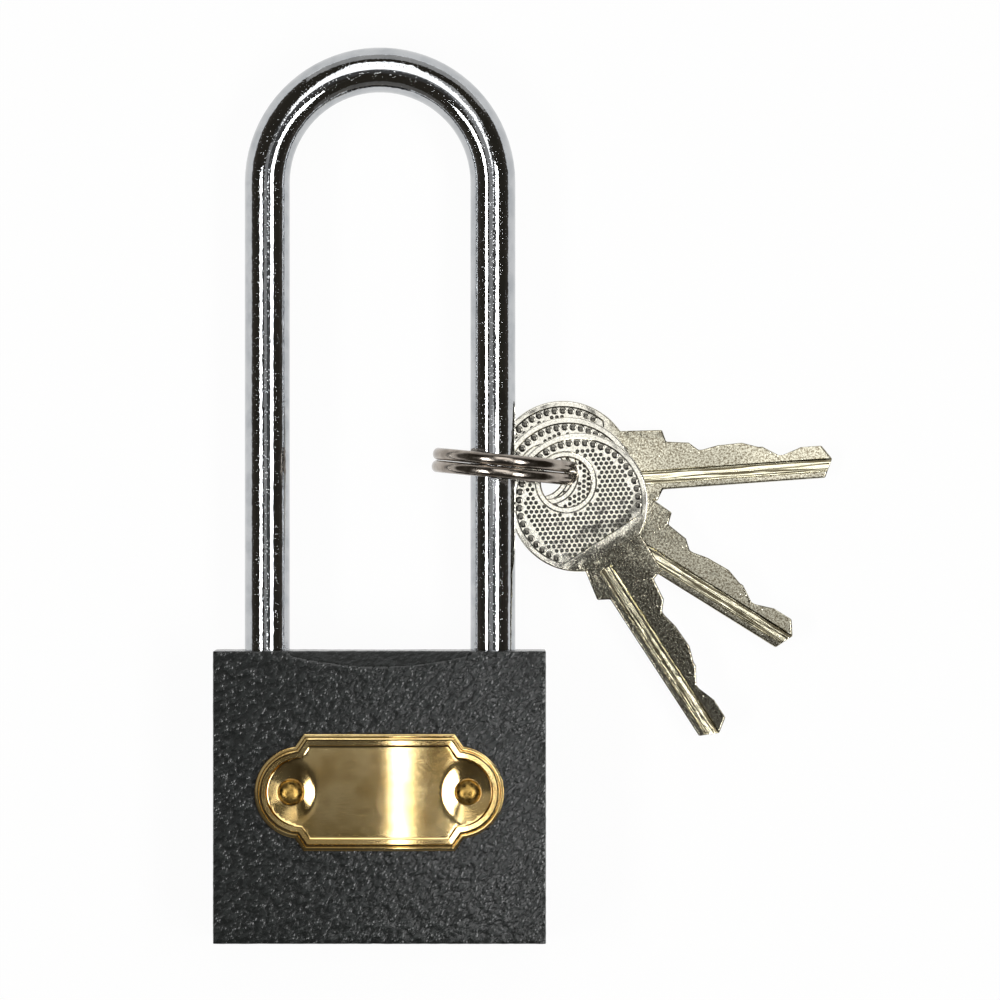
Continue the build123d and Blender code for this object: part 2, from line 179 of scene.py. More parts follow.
def finishPiece(piece, body, material, replaced, smoothAngle=32, keepFlats=False):
    piece.data.materials.clear()
    piece.data.materials.append(material)
    focus(piece)
    bpy.ops.object.shade_smooth_by_angle(angle=math.radians(smoothAngle))
    if keepFlats:
        modify(piece, "WEIGHTED_NORMAL", mode="FACE_AREA", weight=100, keep_sharp=True)
    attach(piece, body)
    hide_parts(*replaced)
    print("made", piece.name, len(piece.data.polygons), "faces")


def toneAndGloss(tree, shader, pattern, look):
    # a metal's two tones and its gloss, which follow one noise that runs from about 0.3 to 0.7
    darkAt, lightAt = look["tones"]
    tone = addNode(tree, "ShaderNodeValToRGB", {"Fac": pattern},
                   stops=[(darkAt, linear(look["dark"])), (lightAt, linear(look["light"]))])
    tree.links.new(tone.outputs["Color"], shader.inputs["Base Color"])
    gloss = addNode(tree, "ShaderNodeMapRange", {
        "Value": pattern, "From Min": 0.3, "From Max": 0.7,
        "To Min": look["gloss"][0], "To Max": look["gloss"][1]})
    tree.links.new(gloss.outputs["Result"], shader.inputs["Roughness"])


# Wrinkle enamel: thick charcoal lacquer that shrank into a fine skin as it was baked. Dull black with
# small wet glints on the folds.
enamelLook = {
    "paint": "#171918", "crest": "#212423", "gloss": (0.18, 0.23), "turn": 45, "stretch": (1.45, 0.8, 1.0),
    "fold": 0.95, "foldDepth": 0.08, "bead": 0.48, "beadDepth": 0.048,
}
enamel, tree, shader, place = newMaterial("charcoal_wrinkle_enamel", {"IOR": 1.45})
leaning = addNode(tree, "ShaderNodeMapping", {
    "Vector": place, "Rotation": (0, 0, math.radians(enamelLook["turn"])), "Scale": enamelLook["stretch"]},
    vector_type="TEXTURE").outputs["Vector"]
folds = addNode(tree, "ShaderNodeTexNoise", {
    "Vector": leaning, "Scale": 1 / (enamelLook["fold"] * mm), "Detail": 1.0, "Roughness": 0.5,
    "Distortion": 0.3}).outputs["Fac"]
beads = addNode(tree, "ShaderNodeTexVoronoi", {
    "Vector": leaning, "Scale": 1 / (enamelLook["bead"] * mm), "Randomness": 1.0})
crests = addNode(tree, "ShaderNodeValToRGB", {"Fac": folds},
                 stops=[(0.42, linear(enamelLook["paint"])), (0.66, linear(enamelLook["crest"]))])
tree.links.new(crests.outputs["Color"], shader.inputs["Base Color"])
gloss = addNode(tree, "ShaderNodeMapRange", {
    "Value": folds, "From Min": 0.42, "From Max": 0.62,
    "To Min": enamelLook["gloss"][0], "To Max": enamelLook["gloss"][1]})
tree.links.new(gloss.outputs["Result"], shader.inputs["Roughness"])
dome = addNode(tree, "ShaderNodeMapRange", {
    "Value": beads.outputs["Distance"], "From Min": 0.0, "From Max": 0.62, "To Min": 1.0, "To Max": 0.0},
    interpolation_type="SMOOTHSTEP")
cluster = addNode(tree, "ShaderNodeMapRange", {
    "Value": folds, "From Min": 0.4, "From Max": 0.64, "To Min": 0.15, "To Max": 1.0})
beadHeight = addNode(tree, "ShaderNodeMath", {
    0: dome.outputs["Result"], 1: cluster.outputs["Result"]}, operation="MULTIPLY")
beadBump = addNode(tree, "ShaderNodeBump", {
    "Height": beadHeight.outputs[0], "Strength": 1.0, "Distance": enamelLook["beadDepth"] * mm})
foldBump = addNode(tree, "ShaderNodeBump", {
    "Height": folds, "Normal": beadBump.outputs["Normal"], "Strength": 1.0,
    "Distance": enamelLook["foldDepth"] * mm})
tree.links.new(foldBump.outputs["Normal"], shader.inputs["Normal"])

# Bright chrome over drawn bar that was barely polished: a mirror whose reflections waver at their edges,
# with scattered pits of the bar showing through as dark and bright specks.
chromeLook = {
    "light": "#BDBFC1", "dark": "#ACAFB2", "tones": (0.3, 0.6), "gloss": (0.03, 0.06), "drawn": 3.0,
    "wave": 0.9, "waveDepth": 0.022, "pit": 0.31, "pitted": 0.62, "pitDepth": 0.012,
}
chrome, tree, shader, place = newMaterial("bright_chrome_on_drawn_steel", {"Metallic": 1.0})
drawn = addNode(tree, "ShaderNodeTexNoise", {
    "Vector": place, "Scale": 1 / (chromeLook["drawn"] * mm), "Detail": 2.0})
toneAndGloss(tree, shader, drawn.outputs["Fac"], chromeLook)
waves = addNode(tree, "ShaderNodeTexNoise", {
    "Vector": place, "Scale": 1 / (chromeLook["wave"] * mm), "Detail": 2.0, "Roughness": 0.6})
waveBump = addNode(tree, "ShaderNodeBump", {
    "Height": waves.outputs["Fac"], "Strength": 1.0, "Distance": chromeLook["waveDepth"] * mm})
pits = addNode(tree, "ShaderNodeTexVoronoi", {
    "Vector": place, "Scale": 1 / (chromeLook["pit"] * mm), "Randomness": 1.0})
pitBowl = addNode(tree, "ShaderNodeMapRange", {
    "Value": pits.outputs["Distance"], "From Min": 0.06, "From Max": 0.26, "To Min": 0.0, "To Max": 1.0},
    interpolation_type="SMOOTHSTEP")
lot = addNode(tree, "ShaderNodeSeparateColor", {"Color": pits.outputs["Color"]})
whole = addNode(tree, "ShaderNodeMath", {
    0: lot.outputs["Red"], 1: chromeLook["pitted"]}, operation="GREATER_THAN")
pitHeight = addNode(tree, "ShaderNodeMath", {
    0: pitBowl.outputs["Result"], 1: whole.outputs[0]}, operation="MAXIMUM")
pitBump = addNode(tree, "ShaderNodeBump", {
    "Height": pitHeight.outputs[0], "Normal": waveBump.outputs["Normal"], "Strength": 1.0,
    "Distance": chromeLook["pitDepth"] * mm})
tree.links.new(pitBump.outputs["Normal"], shader.inputs["Normal"])

# Stamped brass sheet, polished along its length: golden, with fine scratches that draw each highlight
# out across them. The scratches are drawn coarser than real so that they show.
brassLook = {
    "gold": "#E8CD92", "dull": "#CCAC6E", "gloss": (0.06, 0.13), "cloud": 5,
    "scratch": 0.07, "scratchDepth": 0.02, "scratchShare": 0.12,
}
brass, tree, shader, place = newMaterial("stamped_polished_brass", {"Metallic": 1.0})
along = addNode(tree, "ShaderNodeMapping", {"Vector": place, "Scale": (0.02, 1.0, 1.0)}).outputs["Vector"]
scratches = addNode(tree, "ShaderNodeTexNoise", {
    "Vector": along, "Scale": 1 / (brassLook["scratch"] * mm), "Detail": 4.0,
    "Roughness": 0.65}).outputs["Fac"]
clouds = addNode(tree, "ShaderNodeTexNoise", {
    "Vector": place, "Scale": 1 / (brassLook["cloud"] * mm), "Detail": 2.0})
tone = addNode(tree, "ShaderNodeValToRGB", {"Fac": clouds.outputs["Fac"]},
               stops=[(0.3, linear(brassLook["dull"])), (0.65, linear(brassLook["gold"]))])
tree.links.new(tone.outputs["Color"], shader.inputs["Base Color"])
gloss = addNode(tree, "ShaderNodeMapRange", {
    "Value": scratches, "From Min": 0.3, "From Max": 0.7,
    "To Min": brassLook["gloss"][0], "To Max": brassLook["gloss"][1]})
tree.links.new(gloss.outputs["Result"], shader.inputs["Roughness"])
scratchBump = addNode(tree, "ShaderNodeBump", {
    "Height": scratches, "Strength": brassLook["scratchShare"], "Distance": brassLook["scratchDepth"] * mm})
tree.links.new(scratchBump.outputs["Normal"], shader.inputs["Normal"])

# Brass wire rivets, headed and left as they came from the snap: browner and duller than the plate.
rivetLook = {
    "light": "#A98A4C", "dark": "#6F582B", "tones": (0.35, 0.62), "gloss": (0.26, 0.4),
    "hammer": 0.6, "hammerDepth": 0.06,
}
rivetBrass, tree, shader, place = newMaterial("headed_rivet_brass", {"Metallic": 1.0})
hammer = addNode(tree, "ShaderNodeTexNoise", {
    "Vector": place, "Scale": 1 / (rivetLook["hammer"] * mm), "Detail": 3.0}).outputs["Fac"]
toneAndGloss(tree, shader, hammer, rivetLook)
hammerBump = addNode(tree, "ShaderNodeBump", {
    "Height": hammer, "Strength": 0.5, "Distance": rivetLook["hammerDepth"] * mm})
tree.links.new(hammerBump.outputs["Normal"], shader.inputs["Normal"])

# Nickel plate on stamped brass keys, tumbled rather than polished: warm pale grey with a fine granular
# sparkle and slight buckles, with painted shade darkening the raised ornament, and yellower with dark
# lengthwise lines where the groove was milled through the plate. keyPlace is each point's place along and
# across its own key, in metres, and raised is 1 on the ornament.
nickelLook = {
    "plate": "#F0ECD6", "dull": "#8A806B", "bow": "#EFEDE5", "milled": "#EFE9CC", "lineDark": "#544D3B",
    # the painted shade of the raised ornament: a dark colour and the share of it that is mixed in
    "ornamentShade": "#42403A", "ornamentShadeShare": 0.86, "smooth": 0.6, "gloss": (0.06, 0.1),
    "neck": (6.0, 9.0), "blade": 10.3, "sunk": (0.7, 0.62), "cuts": (0.2, 1.6), "flatter": (8.0, 14.0),
    "grain": 0.28, "grainDepth": 0.003, "pit": 0.4, "pitted": 0.86, "pitDepth": 0.012,
    "line": 0.32, "lineDepth": 0.09, "burr": 0.2, "burrDepth": 0.02, "buckle": 2.4, "buckleDepth": 0.06,
}
nickel, tree, shader, place = newMaterial("tumbled_nickel_on_brass", {"Metallic": 1.0})
onKey = addNode(tree, "ShaderNodeAttribute", attribute_name="keyPlace").outputs["Vector"]
parts = addNode(tree, "ShaderNodeSeparateXYZ", {"Vector": onKey})
grain = addNode(tree, "ShaderNodeTexNoise", {
    "Vector": onKey, "Scale": 1 / (nickelLook["grain"] * mm), "Detail": 3.0, "Roughness": 0.6}).outputs["Fac"]
lengthwise = addNode(tree, "ShaderNodeMapping", {"Vector": onKey, "Scale": (0.02, 1.0, 1.0)})
lines = addNode(tree, "ShaderNodeTexNoise", {
    "Vector": lengthwise.outputs["Vector"], "Scale": 1 / (nickelLook["line"] * mm), "Detail": 3.0,
    "Roughness": 0.6}).outputs["Fac"]
crosswise = addNode(tree, "ShaderNodeMapping", {"Vector": onKey, "Scale": (1.0, 0.06, 1.0)})
burrs = addNode(tree, "ShaderNodeTexNoise", {
    "Vector": crosswise.outputs["Vector"], "Scale": 1 / (nickelLook["burr"] * mm), "Detail": 2.0})

# where the groove, the cuts and the bow are
depth = addNode(tree, "ShaderNodeMath", {0: parts.outputs["Z"]}, operation="ABSOLUTE")
sunk = addNode(tree, "ShaderNodeMapRange", {
    "Value": depth.outputs[0], "From Min": nickelLook["sunk"][0] * mm,
    "From Max": nickelLook["sunk"][1] * mm, "To Min": 0.0, "To Max": 1.0})
onBlade = addNode(tree, "ShaderNodeMath", {
    0: parts.outputs["X"], 1: nickelLook["blade"] * mm}, operation="GREATER_THAN")
milled = addNode(tree, "ShaderNodeMath", {
    0: sunk.outputs["Result"], 1: onBlade.outputs[0]}, operation="MULTIPLY")
nearCuts = addNode(tree, "ShaderNodeMapRange", {
    "Value": parts.outputs["Y"], "From Min": nickelLook["cuts"][0] * mm,
    "From Max": nickelLook["cuts"][1] * mm, "To Min": 0.0, "To Max": 1.0})
burred = addNode(tree, "ShaderNodeMath", {
    0: nearCuts.outputs["Result"], 1: onBlade.outputs[0]}, operation="MULTIPLY")
onBow = addNode(tree, "ShaderNodeMapRange", {
    "Value": parts.outputs["X"], "From Min": nickelLook["neck"][0] * mm,
    "From Max": nickelLook["neck"][1] * mm, "To Min": nickelLook["smooth"], "To Max": 0.0})

tone = addNode(tree, "ShaderNodeValToRGB", {"Fac": grain},
               stops=[(0.39, linear(nickelLook["dull"])), (0.61, linear(nickelLook["plate"]))])
# the milled groove is coloured in dark and yellow lengthwise lines
scored = addNode(tree, "ShaderNodeValToRGB", {"Fac": lines},
                 stops=[(0.46, linear(nickelLook["lineDark"])), (0.55, linear(nickelLook["milled"]))])
smoother = addNode(tree, "ShaderNodeMix", {
    "Factor": onBow.outputs["Result"], 6: tone.outputs["Color"], 7: linear(nickelLook["bow"])},
    data_type="RGBA")
raised = addNode(tree, "ShaderNodeAttribute", attribute_name="raised").outputs["Fac"]
# painted shade: the raised dots and beads are darkened, standing in for the dark they reflect and the shade
# in their steps
dark = addNode(tree, "ShaderNodeMath", {0: raised, 1: nickelLook["ornamentShadeShare"]}, operation="MULTIPLY")
ornamentShaded = addNode(tree, "ShaderNodeMix", {
    "Factor": dark.outputs[0], 6: smoother.outputs[2], 7: linear(nickelLook["ornamentShade"])}, data_type="RGBA")
blend = addNode(tree, "ShaderNodeMix", {
    "Factor": milled.outputs[0], 6: ornamentShaded.outputs[2], 7: scored.outputs["Color"]}, data_type="RGBA")
tree.links.new(blend.outputs[2], shader.inputs["Base Color"])
gloss = addNode(tree, "ShaderNodeMapRange", {
    "Value": grain, "From Min": 0.3, "From Max": 0.7,
    "To Min": nickelLook["gloss"][0], "To Max": nickelLook["gloss"][1]})
tree.links.new(gloss.outputs["Result"], shader.inputs["Roughness"])

pits = addNode(tree, "ShaderNodeTexVoronoi", {
    "Vector": onKey, "Scale": 1 / (nickelLook["pit"] * mm), "Randomness": 1.0})
pitBowl = addNode(tree, "ShaderNodeMapRange", {
    "Value": pits.outputs["Distance"], "From Min": 0.0, "From Max": 0.3, "To Min": 0.0, "To Max": 1.0},
    interpolation_type="SMOOTHSTEP")
lot = addNode(tree, "ShaderNodeSeparateColor", {"Color": pits.outputs["Color"]})
whole = addNode(tree, "ShaderNodeMath", {
    0: nickelLook["pitted"], 1: lot.outputs["Red"]}, operation="GREATER_THAN")
pitHeight = addNode(tree, "ShaderNodeMath", {
    0: pitBowl.outputs["Result"], 1: whole.outputs[0]}, operation="MAXIMUM")
buckles = addNode(tree, "ShaderNodeTexNoise", {
    "Vector": onKey, "Scale": 1 / (nickelLook["buckle"] * mm), "Detail": 1.0})
buckled = addNode(tree, "ShaderNodeMapRange", {
    "Value": parts.outputs["X"], "From Min": nickelLook["flatter"][0] * mm,
    "From Max": nickelLook["flatter"][1] * mm, "To Min": 1.0, "To Max": 0.35})
buckleHeight = addNode(tree, "ShaderNodeMath", {
    0: buckles.outputs["Fac"], 1: buckled.outputs["Result"]}, operation="MULTIPLY")
lineHeight = addNode(tree, "ShaderNodeMath", {0: lines, 1: milled.outputs[0]}, operation="MULTIPLY")
burrHeight = addNode(tree, "ShaderNodeMath", {
    0: burrs.outputs["Fac"], 1: burred.outputs[0]}, operation="MULTIPLY")
relief = addNode(tree, "ShaderNodeBump", {
    "Height": buckleHeight.outputs[0], "Strength": 1.0, "Distance": nickelLook["buckleDepth"] * mm})
for name, height, strength in (("pit", pitHeight.outputs[0], 1.0), ("grain", grain, 1.0),
                               ("line", lineHeight.outputs[0], 1.0), ("burr", burrHeight.outputs[0], 0.5)):
    relief = addNode(tree, "ShaderNodeBump", {
        "Height": height, "Normal": relief.outputs["Normal"], "Strength": strength,
        "Distance": nickelLook[name + "Depth"] * mm})
tree.links.new(relief.outputs["Normal"], shader.inputs["Normal"])

# Nickelled spring wire of the ring: darker and browner than the keys, drawn smooth along the wire.
ringLook = {"light": "#ABA298", "dark": "#8D847B", "tones": (0.35, 0.62), "gloss": (0.12, 0.24), "cloud": 1.6}
ringSteel, tree, shader, place = newMaterial("dark_nickelled_spring_wire", {"Metallic": 1.0})
clouds = addNode(tree, "ShaderNodeTexNoise", {
    "Vector": place, "Scale": 1 / (ringLook["cloud"] * mm), "Detail": 3.0})
toneAndGloss(tree, shader, clouds.outputs["Fac"], ringLook)

# The lock work. Each of these is a plain machined metal with its own tone and tool marks.
workMetals = {
    "machined_brass": {"light": "#DDB56E", "dark": "#B98F4B", "marks": 0.35, "gloss": (0.2, 0.34)},
    "hardened_steel": {"light": "#8E8F93", "dark": "#6A6C72", "marks": 0.5, "gloss": (0.24, 0.4)},
    "zinc_plated_steel": {"light": "#B9BEC2", "dark": "#979DA4", "marks": 0.3, "gloss": (0.25, 0.4)},
    "oil_tempered_spring_wire": {"light": "#6E6C6B", "dark": "#4C4A4A", "marks": 0.4, "gloss": (0.2, 0.35)},
}
workMarks = {"tones": (0.35, 0.65), "share": 0.15, "depth": 0.02}
workMaterials = {}
for metalName, look in workMetals.items():
    metal, tree, shader, place = newMaterial(metalName, {"Metallic": 1.0})
    marks = addNode(tree, "ShaderNodeTexNoise", {
        "Vector": place, "Scale": 1 / (look["marks"] * mm), "Detail": 3.0, "Roughness": 0.6}).outputs["Fac"]
    toneAndGloss(tree, shader, marks, {**look, "tones": workMarks["tones"]})
    markBump = addNode(tree, "ShaderNodeBump", {
        "Height": marks, "Strength": workMarks["share"], "Distance": workMarks["depth"] * mm})
    tree.links.new(markBump.outputs["Normal"], shader.inputs["Normal"])
    workMaterials[metalName] = metal
print("materials done")


# The body: the casting with its paint skin as real relief.
lockBody = {
    "voxel": 0.38, "edge": 0.6, "sharper": 0.35, "skin": 0.65, "smooth": 60,
    "scoop": 0.53, "scoopFrom": 17.5, "scoopHalf": 16.3, "scoopOffMiddle": 6,
    "fold": 1.0, "foldDepth": 0.1, "turn": 45, "stretch": (1.5, 0.85, 1.0),
}


def makeLockBody():
    p = lockBody
    body = copyNode("body_casting", "lock_body")
    low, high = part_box("body_casting")
    middleZ = (low[2] + high[2]) / 2
    modify(body, "REMESH", mode="VOXEL", voxel_size=p["voxel"] * mm, adaptivity=0)
    # the outer edges are drawn in to about a third of their radius
    for vertex in body.data.vertices:
        near = []
        for n in range(3):
            side = low[n] if vertex.co[n] - low[n] < high[n] - vertex.co[n] else high[n]
            if abs(vertex.co[n] - side) < p["edge"] * mm:
                near.append((n, side))
        for n, side in near if len(near) > 1 else []:
            vertex.co[n] = side + (vertex.co[n] - side) * p["sharper"]
    # only the outside is painted, not the bores
    skin = body.vertex_groups.new(name="skin")
    painted = []
    for vertex in body.data.vertices:
        spot = vertex.co
        gaps = [min(spot[n] - low[n], high[n] - spot[n]) for n in range(3)]
        inScoop = (spot.y > p["scoopFrom"] * mm and abs(spot.x) < p["scoopHalf"] * mm
                   and abs(spot.z - middleZ) > p["scoopOffMiddle"] * mm)
        if min(gaps) < p["skin"] * mm or inScoop:
            painted.append(vertex.index)
        if inScoop:
            # the crescent is ground at a flatter slant than the CAD's
            face = low[2] if spot.z - low[2] < high[2] - spot.z else high[2]
            vertex.co.z = face + (spot.z - face) * p["scoop"]
    skin.add(painted, 1.0, "REPLACE")
    wrinkles = bpy.data.textures.new("wrinkles", "CLOUDS")
    wrinkles.noise_scale = p["fold"] * mm
    wrinkles.noise_depth = 2
    bpy.ops.object.empty_add(rotation=(0, 0, math.radians(p["turn"])))
    lean = bpy.context.object
    lean.scale = p["stretch"]
    bpy.context.view_layer.update()
    modify(body, "DISPLACE", texture=wrinkles, texture_coords="OBJECT", texture_coords_object=lean,
           vertex_group="skin", mid_level=1.0, strength=p["foldDepth"] * mm)
    bpy.data.objects.remove(lean)
    body.vertex_groups.clear()
    finishPiece(body, "case", enamel, ["body_casting"], p["smooth"])


makeLockBody()

# The plate: outline, stamped edge in steps from the outside in as (width, rise), a panel that bulges along
# its length, and a dish round each rivet.
frontPlate = {
    "rise": 0.8, "bottom": 21.0, "wall": 0.85, "smooth": 20,
    "halfFlat": 11.35, "halfHeight": 8.8, "notchReach": 1.35, "notchHalf": 6.85,
    "endRadius": 6.95, "endOffset": 11.8, "endSides": 128,
    "edge": [(0.04, 0.20), (0.10, 0.06), (0.24, 0.036), (0.10, 0.0), (0.10, -0.055), (0.06, -0.06),
             (0.05, 0.06), (0.18, 0.024), (0.12, -0.06), (0.08, -0.20), (0.64, -0.015), (0.1, -0.12),
             (0.14, -0.05), (0.06, -0.01)],
    "grid": 0.4, "gridReach": (18, 9), "arch": 0.5, "archReach": 13.3, "rivetX": 13.3,
    "dishSeat": 1.6, "dishReach": 5.15, "dishLean": 1.25, "dishDepth": 0.468, "dishRound": 0.1,
}


def makeFrontPlate():
    p = frontPlate
    middle = (0, p["rise"] * mm, (p["bottom"] + p["wall"] / 2) * mm)
    bpy.ops.mesh.primitive_cube_add(
        size=1, location=middle, scale=(2 * p["halfFlat"] * mm, 2 * p["halfHeight"] * mm, p["wall"] * mm))
    plate = settle(bpy.context.object, "front_plate_stamped")
    edit(plate)
    for side in (-1, 1):
        pick(plate, "faces", lambda face: face.normal.x * side > 0.9)
        outwards = (side * p["notchReach"] * mm, 0, 0)
        bpy.ops.mesh.extrude_region_move(TRANSFORM_OT_translate={"value": outwards})
        bpy.ops.transform.resize(value=(1, p["notchHalf"] / p["halfHeight"], 1), center_override=middle)
    leaveEdit()
    for side in (-1, 1):
        bpy.ops.mesh.primitive_cylinder_add(
            vertices=p["endSides"], radius=p["endRadius"] * mm, depth=p["wall"] * mm,
            location=(side * p["endOffset"] * mm, middle[1], middle[2]))
        end = settle(bpy.context.object, "end")
        modify(plate, "BOOLEAN", object=end, operation="UNION", solver="EXACT")
        bpy.data.objects.remove(end)
    edit(plate)
    bpy.ops.mesh.select_all(action="SELECT")
    bpy.ops.mesh.remove_doubles(threshold=0.005 * mm)
    bpy.ops.mesh.dissolve_limited(angle_limit=math.radians(0.5))
    pick(plate, "faces", lambda face: face.normal.z > 0.9)
    panelZ = p["bottom"] + p["wall"]
    for width, rise in p["edge"]:
        bpy.ops.mesh.inset(thickness=width * mm, depth=rise * mm, use_even_offset=True)
        panelZ += rise

    def inPanel(face):
        return face.normal.z > 0.99 and abs(face.calc_center_median().z - panelZ * mm) < 0.002 * mm

    # a grid across the panel, and across the rim where it is straight
    for axis, reach in enumerate(p["gridReach"]):
        count = int(reach / p["grid"])
        for n in range(-count, count + 1):
            spot = [0, p["rise"] * mm, 0]
            spot[axis] += (n + 0.5) * p["grid"] * mm
            acrossRim = axis == 0 and abs(spot[0]) < p["halfFlat"] * mm
            pick(plate, "faces", (lambda face: face.normal.z > -0.5) if acrossRim else inPanel)
            bpy.ops.mesh.bisect(plane_co=spot, plane_no=[1 - axis, axis, 0])
    mesh = bmesh.from_edit_mesh(plate.data)
    for vertex in mesh.verts:
        x, y, z = vertex.co.x / mm, vertex.co.y / mm - p["rise"], vertex.co.z / mm
        if z < p["bottom"] + 0.3:
            continue  # the back stays flat
        flat = min(1, abs(x) / p["archReach"]) ** 2
        lift = p["arch"] * (1 - flat) ** 2
        off = math.hypot(abs(x) - p["rivetX"], y)
        # each dish is steeper towards the middle of the plate
        reach = p["dishReach"] + p["dishLean"] * (abs(x) - p["rivetX"]) / max(off, 0.01)
        bowl = max(0, min(1, (reach - off) / (reach - p["dishSeat"])))
        if z < panelZ + 0.01:
            soft = bowl * bowl * (3 - 2 * bowl)
            lift -= p["dishDepth"] * (bowl + (soft - bowl) * p["dishRound"])
        vertex.co.z += lift * mm
    bmesh.update_edit_mesh(plate.data)
    leaveEdit()
    finishPiece(plate, "case", brass, ["front_plate"], p["smooth"], keepFlats=True)


makeFrontPlate()

# Two rivets with low domed heads, a little flat on top from the snap. The profile is (radius, height).
plateRivets = {
    "seat": 21.22, "sides": 48, "smooth": 50,
    "profile": [(1.0, -4.78), (1.0, 0.0), (1.92, 0.0), (2.0, 0.12), (1.97, 0.4), (1.83, 0.72), (1.58, 1.0),
                (1.22, 1.21), (0.8, 1.33), (0.4, 1.38), (0.1, 1.39)],
}


def makeRivets():
    p = plateRivets
    left = (-frontPlate["rivetX"], frontPlate["rise"], p["seat"])
    rivets = raiseRound("plate_rivets_domed", p["sides"], left, p["profile"])
    other = rivets.copy()
    other.data = rivets.data.copy()
    bpy.context.scene.collection.objects.link(other)
    other.location.x = 2 * frontPlate["rivetX"] * mm
    settle(other, "otherRivet")
    joinInto(rivets, [other])
    finishPiece(rivets, "case", rivetBrass, ["plate_rivets"], p["smooth"])


makeRivets()

# Keys: the cut blank with broken edges, and the usual ornament of the bow on both faces. Beads and dots are
# (radius, height) over the bow's field.
keyLook = {
    "bow": 10.5, "axes": {1: 4.1, 2: -32.0, 3: -57.0}, "half": 0.8, "field": 0.5,
    "rounded": 0.26, "edge": 0.12, "edgeAngle": 35, "smooth": 35,
    "holeX": -3.6, "holeRim": 4.6, "band": 6.6, "beads": 46, "beadCircle": 9.02, "beadSides": 10,
    "bead": [(0.56, -0.02), (0.55, 0.12), (0.51, 0.17), (0.45, 0.19), (0.12, 0.193)],
    "pitch": 0.78, "dotsInside": 8.15, "dotSides": 8,
    "dot": [(0.32, -0.05), (0.31, 0.05), (0.26, 0.12), (0.1, 0.21), (0.03, 0.225)],
    "beadsClear": 0.6, "dotsClear": 0.3, "grooveFloor": 0.3, "floorWithin": 0.06, "grooveSlant": 8.5,
}


def arrayOf(piece, count, step):
    modify(piece, "ARRAY", count=count, use_relative_offset=False, use_constant_offset=True,
           constant_offset_displace=[s * mm for s in step])


def dropCopies(piece, perCopy, keep):
    # deletes the copies of an array whose middle isn't wanted
    edit(piece, "VERT")
    mesh = bmesh.from_edit_mesh(piece.data)
    mesh.verts.ensure_lookup_table()
    for first in range(0, len(mesh.verts), perCopy):
        group = [mesh.verts[first + n] for n in range(perCopy)]
        x = sum(v.co.x for v in group) / perCopy / mm
        y = sum(v.co.y for v in group) / perCopy / mm
        if not keep(x, y):
            for v in group:
                v.select_set(True)
    mesh.select_flush_mode()
    bmesh.update_edit_mesh(piece.data)
    bpy.ops.mesh.delete(type="VERT")
    leaveEdit()


def makeBowOrnament():
    p = keyLook
    beads = raiseRound("beads", p["beadSides"], (p["beadCircle"], 0, p["field"]), p["bead"])
    perBead = len(beads.data.vertices)
    bpy.ops.object.empty_add(rotation=(0, 0, 2 * math.pi / p["beads"]))
    turn = bpy.context.object
    bpy.context.view_layer.update()
    modify(beads, "ARRAY", count=p["beads"], use_relative_offset=False, use_object_offset=True,
           offset_object=turn)
    bpy.data.objects.remove(turn)
    dropCopies(beads, perBead, lambda x, y: x < p["band"] - p["beadsClear"])

    # staggered rows of dots
    count = int(2 * p["dotsInside"] / p["pitch"])
    row = p["pitch"] * math.sqrt(3) / 2
    dots = raiseRound("dots", p["dotSides"], (-p["dotsInside"], -p["dotsInside"], p["field"]), p["dot"])
    perDot = len(dots.data.vertices)
    arrayOf(dots, count, (p["pitch"], 0, 0))
    arrayOf(dots, 2, (p["pitch"] / 2, row, 0))
    arrayOf(dots, int(p["dotsInside"] / row) + 1, (0, 2 * row, 0))

    def inField(x, y):
        clearOfHole = math.hypot(x - p["holeX"], y) > p["holeRim"] + p["dotsClear"]
        return math.hypot(x, y) < p["dotsInside"] and x < p["band"] - p["dotsClear"] and clearOfHole

    dropCopies(dots, perDot, inField)

    ornament = joinInto(beads, [dots])
    modify(ornament, "MIRROR", use_axis=(False, False, True), use_clip=False, use_mirror_merge=False)
    return ornament


def onOutline(edge):
    # between a key's face and a side that goes through its whole thickness
    flats = [face for face in edge.link_faces if abs(face.normal.z) > 0.9]
    sides = [face for face in edge.link_faces if abs(face.normal.z) < 0.1]
    heights = [vertex.co.z for face in sides for vertex in face.verts]
    return len(flats) == len(sides) == 1 and max(heights) - min(heights) > 1.9 * keyLook["half"] * mm


